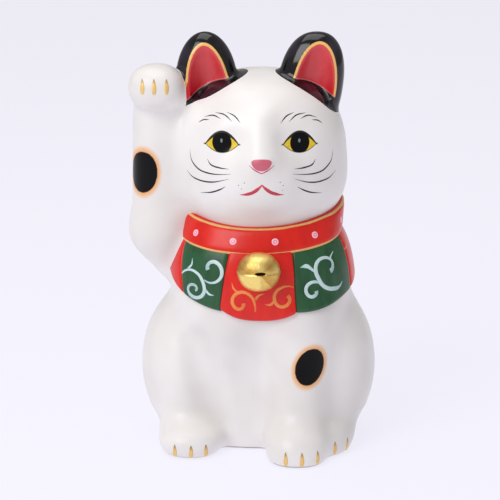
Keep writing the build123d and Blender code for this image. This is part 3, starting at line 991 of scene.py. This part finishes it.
class Flow:
    # a Geometry Nodes group, wired by socket name
    def __init__(self, name, inputs):
        self.group = bpy.data.node_groups.new(name, "GeometryNodeTree")
        self.group.interface.new_socket("Geometry", in_out="INPUT", socket_type="NodeSocketGeometry")
        for label, kind in inputs:
            self.group.interface.new_socket(label, in_out="INPUT", socket_type=kind)
        self.group.interface.new_socket("Geometry", in_out="OUTPUT", socket_type="NodeSocketGeometry")
        self.start = self.group.nodes.new("NodeGroupInput")
        self.end = self.group.nodes.new("NodeGroupOutput")

    def given(self, label):
        return self.start.outputs[label]

    def node(self, kind, settings=None, **wired):
        made = self.group.nodes.new(kind)
        for key, value in (settings or {}).items():
            setattr(made, key, value)
        for key, value in wired.items():
            self.join(value, made.inputs[key.replace("_", " ").strip()])
        return made

    def join(self, value, socket):
        if isinstance(value, bpy.types.NodeSocket):
            self.group.links.new(value, socket)
        else:
            socket.default_value = value

    def vector(self, operation, *values):
        made = self.node("ShaderNodeVectorMath", {"operation": operation})
        for value, socket in zip(values, made.inputs):
            self.join(value, socket)
        return made.outputs[0]

    def scaled(self, value, factor):
        made = self.node("ShaderNodeVectorMath", {"operation": "SCALE"}, Vector=value, Scale=factor)
        return made.outputs[0]

    def ontoGround(self, shapes):
        # moves points from in front of a piece onto its surface; returns them with the surface's direction
        here = self.node("GeometryNodeInputPosition").outputs[0]
        wobble = self.node("ShaderNodeTexNoise", {"noise_dimensions": "4D"}, Vector=here, W=self.given("Seed"),
                           Scale=140.0, Detail=1.0).outputs["Color"]
        drift = self.scaled(self.vector("SUBTRACT", wobble, (0.5, 0.5, 0.5)), self.given("Wander"))
        shapes = self.node("GeometryNodeSetPosition", Geometry=shapes, Offset=drift).outputs[0]
        centre = self.vector("NORMALIZE", self.vector("MULTIPLY", here, (-1.0, -1.0, 0.0)))
        aimed = self.node("GeometryNodeSwitch", {"input_type": "VECTOR"}, Switch=self.given("Inward"),
                          False_=(0.0, 1.0, 0.0), True_=centre).outputs[0]
        ground = self.node("GeometryNodeObjectInfo", Object=self.given("Ground")).outputs["Geometry"]
        start = self.vector("SUBTRACT", here, self.scaled(aimed, 0.06))
        ray = self.node("GeometryNodeRaycast", Target_Geometry=ground, Source_Position=start,
                        Ray_Direction=aimed, Ray_Length=0.3)
        keep = self.group.nodes.new("GeometryNodeCaptureAttribute")
        keep.capture_items.new("VECTOR", "Spot")
        keep.capture_items.new("VECTOR", "Facing")
        self.group.links.new(shapes, keep.inputs[0])
        self.group.links.new(ray.outputs["Hit Position"], keep.inputs["Spot"])
        self.group.links.new(ray.outputs["Hit Normal"], keep.inputs["Facing"])
        facing = keep.outputs["Facing"]
        lifted = self.vector("ADD", keep.outputs["Spot"], self.scaled(facing, self.given("Lift")))
        placed = self.node("GeometryNodeSetPosition", Geometry=keep.outputs[0], Position=lifted).outputs[0]
        return placed, facing

    def finish(self, geometry):
        whole = self.node("GeometryNodeRealizeInstances", Geometry=geometry).outputs[0]
        smooth = self.node("GeometryNodeSetShadeSmooth", Geometry=whole).outputs[0]
        painted = self.node("GeometryNodeSetMaterial", Geometry=smooth, Material=self.given("Paint")).outputs[0]
        self.group.links.new(painted, self.end.inputs[0])


groundInputs = [("Ground", "NodeSocketObject"), ("Paint", "NodeSocketMaterial"), ("Inward", "NodeSocketBool"),
                ("Lift", "NodeSocketFloat"), ("Flatness", "NodeSocketFloat"), ("Wander", "NodeSocketFloat"),
                ("Seed", "NodeSocketFloat")]


def strokeFlow():
    # curves laid on a piece become flat strokes as wide as each point's radius
    flow = Flow("brush strokes", groundInputs + [("Spacing", "NodeSocketFloat")])
    even = flow.node("GeometryNodeResampleCurve", {"mode": "LENGTH"}, Curve=flow.given("Geometry"),
                     Length=flow.given("Spacing")).outputs[0]
    placed, facing = flow.ontoGround(even)
    turned = flow.node("GeometryNodeSetCurveNormal", {"mode": "FREE"}, Curve=placed, Normal=facing).outputs[0]
    share = flow.node("GeometryNodeSplineParameter").outputs["Factor"]
    marked = flow.node("GeometryNodeStoreNamedAttribute", {"data_type": "FLOAT", "domain": "POINT"},
                       Geometry=turned, Name="along", Value=share).outputs[0]
    ring = flow.node("GeometryNodeCurvePrimitiveCircle", Resolution=10, Radius=1.0).outputs[0]
    squash = flow.node("ShaderNodeCombineXYZ", X=flow.given("Flatness"), Y=1.0, Z=1.0).outputs[0]
    section = flow.node("GeometryNodeTransform", Geometry=ring, Scale=squash).outputs[0]
    width = flow.node("GeometryNodeInputRadius").outputs[0]
    tube = flow.node("GeometryNodeCurveToMesh", Curve=marked, Profile_Curve=section, Scale=width,
                     Fill_Caps=True)
    flow.finish(tube.outputs[0])
    return flow.group


def dotFlow():
    # each point becomes a flat round drop of enamel; "size" is its radius
    flow = Flow("enamel dots", groundInputs)
    cloud = flow.node("GeometryNodeMeshToPoints", Mesh=flow.given("Geometry")).outputs[0]
    placed, facing = flow.ontoGround(cloud)
    ball = flow.node("GeometryNodeMeshUVSphere", Segments=24, Rings=12, Radius=1.0).outputs[0]
    here = flow.node("GeometryNodeInputPosition").outputs[0]
    flat = flow.vector("MULTIPLY", here, (1.0, 1.0, 0.0))
    reach = flow.node("ShaderNodeVectorMath", {"operation": "LENGTH"}, Vector=flat).outputs["Value"]
    marked = flow.node("GeometryNodeStoreNamedAttribute", {"data_type": "FLOAT", "domain": "POINT"},
                       Geometry=ball, Name="reach", Value=reach).outputs[0]
    squash = flow.node("ShaderNodeCombineXYZ", X=1.0, Y=1.0, Z=flow.given("Flatness")).outputs[0]
    drop = flow.node("GeometryNodeTransform", Geometry=marked, Scale=squash).outputs[0]
    turn = flow.node("FunctionNodeAlignRotationToVector", {"axis": "Z"}, Vector=facing).outputs[0]
    size = flow.node("GeometryNodeInputNamedAttribute", {"data_type": "FLOAT"}, Name="size").outputs[0]
    laid = flow.node("GeometryNodeInstanceOnPoints", Points=placed, Instance=drop, Rotation=turn, Scale=size)
    flow.finish(laid.outputs[0])
    return flow.group


strokeGroup, dotGroup = strokeFlow(), dotFlow()
paintFrom = -60.0  # strokes start on a plane this far in front of the cat


def grow(name, data, group, values):
    # runs a node group on data and keeps the result as a plain mesh
    seed = bpy.data.objects.new(name + " seed", data)
    bpy.context.scene.collection.objects.link(seed)
    modifier = seed.modifiers.new("grow", "NODES")
    modifier.node_group = group
    for item in group.interface.items_tree:
        if item.in_out == "INPUT" and item.name in values:
            modifier[item.identifier] = values[item.name]
    bpy.context.view_layer.update()
    grown = seed.evaluated_get(bpy.context.evaluated_depsgraph_get())
    mesh = bpy.data.meshes.new_from_object(grown)
    mesh.name = name
    bpy.data.objects.remove(seed)
    piece = bpy.data.objects.new(name, mesh)
    bpy.context.scene.collection.objects.link(piece)
    print("painted", name, len(mesh.polygons), "faces")
    return piece


def smoothPath(knots, steps=8):
    # a Catmull-Rom line through the knots
    k = np.array(knots, float)
    k = np.concatenate([[2 * k[0] - k[1]], k, [2 * k[-1] - k[-2]]])
    t = np.linspace(0, 1, steps, endpoint=False)[:, None]
    found = []
    for a, b, c, d in zip(k, k[1:], k[2:], k[3:]):
        bend, twist = 2 * a - 5 * b + 4 * c - d, 3 * b - a - 3 * c + d
        found.append(0.5 * (2 * b + (c - a) * t + bend * t ** 2 + twist * t ** 3))
    return np.concatenate(found + [k[-2:-1]])


def curl(centre, turns):
    # a scroll about a centre; turns are (angle in degrees, radius) pairs
    path = smoothPath(turns)
    turn = np.radians(path[:, 0])
    return np.stack([centre[0] + path[:, 1] * np.cos(turn), centre[1] + path[:, 1] * np.sin(turn)], 1)


def lineWidth(count, widths):
    # half widths at the start, the middle and the end
    return np.interp(np.linspace(0, 1, count), np.linspace(0, 1, len(widths)), widths)


def paint(name, data, group, ground, finish, inward, values):
    # every stroke and dot is painted on the fired figure; "Wander" is how far the brush strays
    common = {"Ground": ground, "Paint": finish.material, "Inward": inward, "Lift": 0.0}
    piece = grow(name, data, group, {**common, **values})
    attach(piece, "figure")
    return piece


def paintLines(name, lines, ground, finish, flatness=0.3, wander=0.0, seed=1.0, spacing=0.6, inward=False,
               closed=False):
    # lines are (points in x and z, or x, y and z, half widths) pairs
    data = bpy.data.curves.new(name + " lines", "CURVE")
    data.dimensions = "3D"
    for path, widths in lines:
        path = np.array(path, float)
        if path.shape[1] == 2:
            path = np.stack([path[:, 0], np.full(len(path), paintFrom), path[:, 1]], 1)
        spline = data.splines.new("POLY")
        spline.points.add(len(path) - 1)
        spline.points.foreach_set("co", np.concatenate([path * 0.001, np.ones((len(path), 1))], 1).ravel())
        spline.points.foreach_set("radius", lineWidth(len(path), widths) * 0.001)
        spline.use_cyclic_u = closed
    return paint(name, data, strokeGroup, ground, finish, inward, {
        "Flatness": flatness, "Wander": wander * 0.001, "Seed": seed, "Spacing": spacing * 0.001})


def paintDots(name, spots, ground, finish, inward=False):
    # spots are x, y, z and radius
    data = bpy.data.meshes.new(name + " spots")
    data.from_pydata([[float(c) * 0.001 for c in spot[:3]] for spot in spots], [], [])
    size = data.attributes.new("size", "FLOAT", "POINT")
    size.data.foreach_set("value", [spot[3] * 0.001 for spot in spots])
    return paint(name, data, dotGroup, ground, finish, inward, {"Flatness": 0.12, "Wander": 0.0, "Seed": 1.0})


def mirrored(lines, about):
    return lines + [([(2 * about - x, z) for x, z in path], widths) for path, widths in lines]


def brushFinish(name, base, other, roughness=0.3):
    # brush paint, a little thinner towards the end of each stroke
    m = Finish(name, roughness=roughness)
    along = m.attribute("along")
    thin = (along - 0.5).size().step(0.2, 0.5) * 0.7 + m.noise(1.5, 3.0).step(0.35, 0.75) * 0.3
    m.colour(m.mix(thin, base, other))
    m.drive("Roughness", m.noise(1.2) * 0.12 + (roughness - 0.06))
    m.bump(m.noise(4.0, 2.0), 0.02)
    return m


ink = brushFinish("whisker ink", srgb(20, 18, 22), srgb(58, 54, 60), 0.35)
whiskers = {
    "middle": -0.2, "half": 0.32,
    "lines": [[(22.2, 127.4), (20.6, 125.2), (17.0, 124.3), (13.2, 124.3)],
              [(29.4, 130.0), (28.5, 125.4), (25.0, 122.2), (19.5, 121.4), (12.4, 122.4)],
              [(30.8, 121.0), (28.0, 118.7), (23.7, 117.8), (18.9, 118.2), (13.2, 120.4)],
              [(25.0, 112.6), (20.4, 113.6), (17.0, 115.2), (14.5, 116.9)]],
}
brows = {
    "middle": -0.6, "half": 0.27,
    "lines": [[(7.6, 142.6), (10.0, 145.2), (13.2, 146.5)], [(11.0, 143.0), (14.1, 145.4), (17.9, 146.0)],
              [(15.6, 143.8), (18.9, 144.9), (22.6, 143.8)], [(20.4, 143.1), (22.9, 142.6), (25.0, 141.2)]],
}
hairs = []
for group in (whiskers, brows):
    paths = [(smoothPath(line), (0.04, group["half"], group["half"], 0.05)) for line in group["lines"]]
    hairs += mirrored(paths, group["middle"])
paintLines("whiskersAndBrows", hairs, clay["head"], ink, wander=0.5, seed=3.0, spacing=0.4)

rose = brushFinish("mouth rose", srgb(196, 40, 66), srgb(222, 96, 116), 0.28)
mouth = {"wing": [(-0.1, 118.8), (1.4, 117.2), (3.6, 115.5), (6.4, 114.5), (9.0, 114.2)], "half": 0.72,
         "vee": [(-0.2, 123.7), (2.3, 125.0), (4.9, 126.9)], "veeHalf": 0.3}
lips = mirrored([(smoothPath(mouth["wing"]), (0.3, mouth["half"], mouth["half"], 0.1))], -0.05)
lips += mirrored([(smoothPath(mouth["vee"]), (0.25, mouth["veeHalf"], 0.12))], -0.2)
paintLines("mouthAndNoseLine", lips, clay["head"], rose, wander=0.2, seed=5.0, spacing=0.4)
muzzleSpots = [(-7.2, 119.4, 0.22), (-9.6, 118.2, 0.2), (7.4, 119.6, 0.22), (8.6, 118.2, 0.2),
               (8.3, 116.2, 0.18), (-8.4, 116.8, 0.18)]
paintDots("whiskerSpots", [(x, paintFrom, z, r) for x, z, r in muzzleSpots], clay["head"], ink)

claws = {
    "half": 0.95, "long": 6.2,
    "rows": [("arm", (-49.3, -44.5, -39.3), 159.2), ("rightHindPaw", (-36.6, -29.8, -23.4), 6.9),
             ("foreleg", (9.8, 16.6, 23.2), 7.4), ("leftHindPaw", (30.9, 36.4), 7.6)],
}


def clawFinish():
    m = Finish("claw gold", roughness=0.32)
    along = m.attribute("along")
    grain = m.noise(1.1, 3.0, stretch=(2.0, 2.0, 0.5))
    colour = m.mix(grain.step(0.35, 0.7), srgb(246, 204, 132), srgb(228, 190, 108))
    colour = m.mix(along.step(0.42, 0.04) * 0.8, colour, srgb(128, 96, 58))
    m.colour(colour)
    m.drive("Metallic", grain * 0.15)
    m.drive("Roughness", grain * 0.2 + 0.25)
    m.bump(grain, 0.04)
    return m


clawGold = clawFinish()
for number, (name, places, top) in enumerate(claws["rows"]):
    half = claws["half"]
    rows = [([(x, top), (x + 0.1, top - claws["long"] / 2), (x, top - claws["long"])],
             (0.08, half * 0.6, half * 0.9, half, half, half * 0.6)) for x in places]
    rows = [(smoothPath(path), widths) for path, widths in rows]
    paintLines(name + "Claws", rows, clay[name], clawGold, wander=0.5, seed=7.0 + number, spacing=0.5)

collarPaint = {"lines": (-0.86, 0.88), "half": (0.6, 0.54, 0.6), "dot": 1.45, "frontEnds": 75,
               "dots": (-50, -20.5, 9.5, 38.5, 70, 101, 132, 163, 193, 224, 255, 286)}
linePaint = brushFinish("gold line", srgb(240, 196, 124), srgb(226, 168, 92), 0.34)
turns = np.arange(0, 360, 2.0)
rims = [(collarPoints(turns, np.full(len(turns), at)), collarPaint["half"]) for at in collarPaint["lines"]]
paintLines("collarGoldLines", rims, collar, linePaint, wander=0.3, seed=11.0, spacing=0.8,
           inward=True, closed=True)


def dotFinish():
    m = Finish("collar dots", roughness=0.3)
    reach = m.attribute("reach")
    colour = m.mix((reach - 0.45).size().step(0.22, 0.06), srgb(255, 196, 214), srgb(236, 118, 150))
    m.colour(m.mix(m.noise(1.4).step(0.4, 0.8) * 0.3, colour, srgb(255, 224, 226)))
    m.drive("Roughness", m.noise(1.0) * 0.1 + 0.25)
    m.bump(m.noise(3.0), 0.02)
    return m


dotSpots = []
for angle in collarPaint["dots"]:
    across = 0.0 if abs(angle) < collarPaint["frontEnds"] else 0.05
    spot = collarPoints(np.array([float(angle)]), np.array([across]))[0]
    dotSpots.append((*spot, collarPaint["dot"]))
paintDots("collarDots", dotSpots, collar, dotFinish(), inward=True)

paleBlue = brushFinish("pale scroll enamel", srgb(204, 226, 228), srgb(150, 186, 188), 0.26)
orange = brushFinish("orange scroll enamel", srgb(238, 146, 72), srgb(228, 104, 52), 0.28)
# named by side as seen from the front; each stroke is a path and its half widths
scrolls = {
    "leftGreen": [
        (curl((-28.2, 72.2), [(142, 7.3), (100, 7.9), (40, 5.0), (-30, 4.0), (-160, 2.8), (-300, 1.6),
                              (-400, 0.6)]), (0.35, 0.55, 0.8, 0.85, 0.7, 0.6, 0.65)),
        (smoothPath([(-30.8, 80.2), (-29.2, 82.2), (-28.9, 84.8)]), (0.6, 0.45, 0.1)),
        (curl((-20.3, 79.8), [(-140, 4.8), (-65, 3.6), (0, 3.7), (80, 4.7), (125, 3.8), (150, 2.4)]),
         (0.3, 0.7, 0.85, 0.8, 1.0)),
        (smoothPath([(-23.4, 72.6), (-21.9, 71.0), (-19.9, 70.7)]), (0.6, 0.5, 0.1))],
    "rightGreen": [
        (curl((27.6, 80.4), [(-40, 1.2), (37, 2.6), (106, 5.2), (140, 5.8), (189, 5.0), (227, 5.3), (281, 8.3),
                             (300, 9.4), (315, 8.8)]), (1.1, 0.6, 0.75, 0.95, 0.95, 0.85, 0.15)),
        (smoothPath([(28.2, 84.2), (28.8, 85.6), (29.8, 87.2)]), (0.5, 0.35, 0.1)),
        (smoothPath([(22.6, 79.6), (20.2, 81.9), (18.3, 82.9), (15.9, 82.5)]), (0.3, 0.7, 1.0, 0.15)),
        (curl((21.0, 73.2), [(21, 4.1), (86, 2.9), (178, 2.7), (264, 2.9), (310, 2.6), (335, 1.8)]),
         (0.5, 0.75, 0.8, 0.75, 0.95))],
    "front": [
        (curl((-8.6, 68.4), [(-34, 7.1), (0, 5.6), (65, 4.6), (150, 3.9), (250, 3.1), (300, 1.9), (345, 1.0)]),
         (0.3, 0.6, 0.75, 0.75, 0.75, 0.9)),
        (smoothPath([(-12.4, 76.6), (-11.7, 74.2), (-9.8, 72.6)]), (0.15, 0.4, 0.5)),
        (smoothPath([(-2.7, 69.6), (-1.3, 71.4), (1.3, 72.2)]), (0.6, 0.5, 0.1)),
        (curl((8.6, 70.4), [(43, 6.2), (98, 4.3), (180, 3.5), (260, 3.8), (343, 3.1), (385, 2.2)]),
         (0.2, 0.7, 0.75, 0.75, 0.9)),
        (smoothPath([(5.2, 69.2), (3.6, 67.5), (1.3, 67.6)]), (0.6, 0.5, 0.1))],
    "rightRed": [
        (curl((34.6, 87.4), [(100, 2.2), (180, 1.8), (270, 1.6), (350, 1.4), (400, 0.9)]), (0.2, 0.4, 0.4))],
}
for name, lines in scrolls.items():
    ground, finish = (bibGreen, paleBlue) if "Green" in name else (bibRed, orange)
    paintLines(name + "Scroll", lines, ground, finish, wander=0.35, seed=21.0, spacing=0.5, flatness=0.22)
print("figure painted")


studio = {
    "paper": srgb(241, 240, 250), "paperShare": 0.2, "paperGlow": 0.85, "paperHalf": 9.0,
    "sky": srgb(250, 246, 246), "skyStrength": 0.4,
    # place and aim in metres, width and height, power
    "lamps": {
        "key": ((-0.62, -0.8, 0.85), (0, 0, 0.09), (0.75, 0.75), 7.6),
        "fill": ((0.9, -0.6, 0.45), (0, 0, 0.08), (0.6, 0.8), 0.1),
        "top": ((-0.1, 0.05, 1.1), (0, 0, 0.1), (0.8, 0.8), 4.2),
    },
}
cameraSet = {"aim": (-4.9, 0.0, 81.5), "away": 900.0, "rise": 14.0, "lens": 150.7, "sensor": 36.0}


def paperFloor():
    # seen from below the paper is clear, so that the foot can be looked at
    h = studio["paperHalf"]
    mesh = bpy.data.meshes.new("floor")
    mesh.from_pydata([(-h, -h, 0), (h, -h, 0), (h, h, 0), (-h, h, 0)], [], [(0, 1, 2, 3)])
    paper = Finish("paper floor", roughness=0.8)
    paper.fix("Specular IOR Level", 0.1)
    paper.colour([c * studio["paperShare"] for c in studio["paper"]])
    paper.fix("Emission Color", (*studio["paper"], 1))
    paper.fix("Emission Strength", studio["paperGlow"])
    tree = paper.tree
    clear, pick = tree.nodes.new("ShaderNodeBsdfTransparent"), tree.nodes.new("ShaderNodeMixShader")
    back = tree.nodes.new("ShaderNodeNewGeometry")
    tree.links.new(back.outputs["Backfacing"], pick.inputs[0])
    tree.links.new(paper.shader.outputs[0], pick.inputs[1])
    tree.links.new(clear.outputs[0], pick.inputs[2])
    tree.links.new(pick.outputs[0], tree.nodes["Material Output"].inputs["Surface"])
    mesh.materials.append(paper.material)
    floor = bpy.data.objects.new("floor", mesh)
    bpy.context.scene.collection.objects.link(floor)


def turnTo(thing, at, aim):
    thing.location = at
    thing.rotation_euler = (Vector(aim) - Vector(at)).to_track_quat("-Z", "Y").to_euler()
    bpy.context.scene.collection.objects.link(thing)


def softbox(name, at, aim, size, power):
    lamp = bpy.data.lights.new(name, "AREA")
    lamp.shape = "RECTANGLE"
    lamp.size, lamp.size_y = size
    lamp.energy = power
    turnTo(bpy.data.objects.new(name, lamp), at, aim)


paperFloor()
world = bpy.data.worlds.new("studio")
bpy.context.scene.world = world
world.use_nodes = True
sky = world.node_tree.nodes["Background"]
sky.inputs[0].default_value = (*studio["sky"], 1)
sky.inputs[1].default_value = studio["skyStrength"]
for name, lamp in studio["lamps"].items():
    softbox(name, *lamp)

lens = bpy.data.cameras.new("camera")
lens.lens, lens.sensor_width = cameraSet["lens"], cameraSet["sensor"]
lens.clip_start, lens.clip_end = 0.02, 50.0
viewer = bpy.data.objects.new("camera", lens)
aim, rise = Vector(cameraSet["aim"]) * 0.001, radians(cameraSet["rise"])
turnTo(viewer, aim + Vector((0, -cos(rise), sin(rise))) * cameraSet["away"] * 0.001, aim)
bpy.context.scene.camera = viewer
print("floor, lights and camera set")
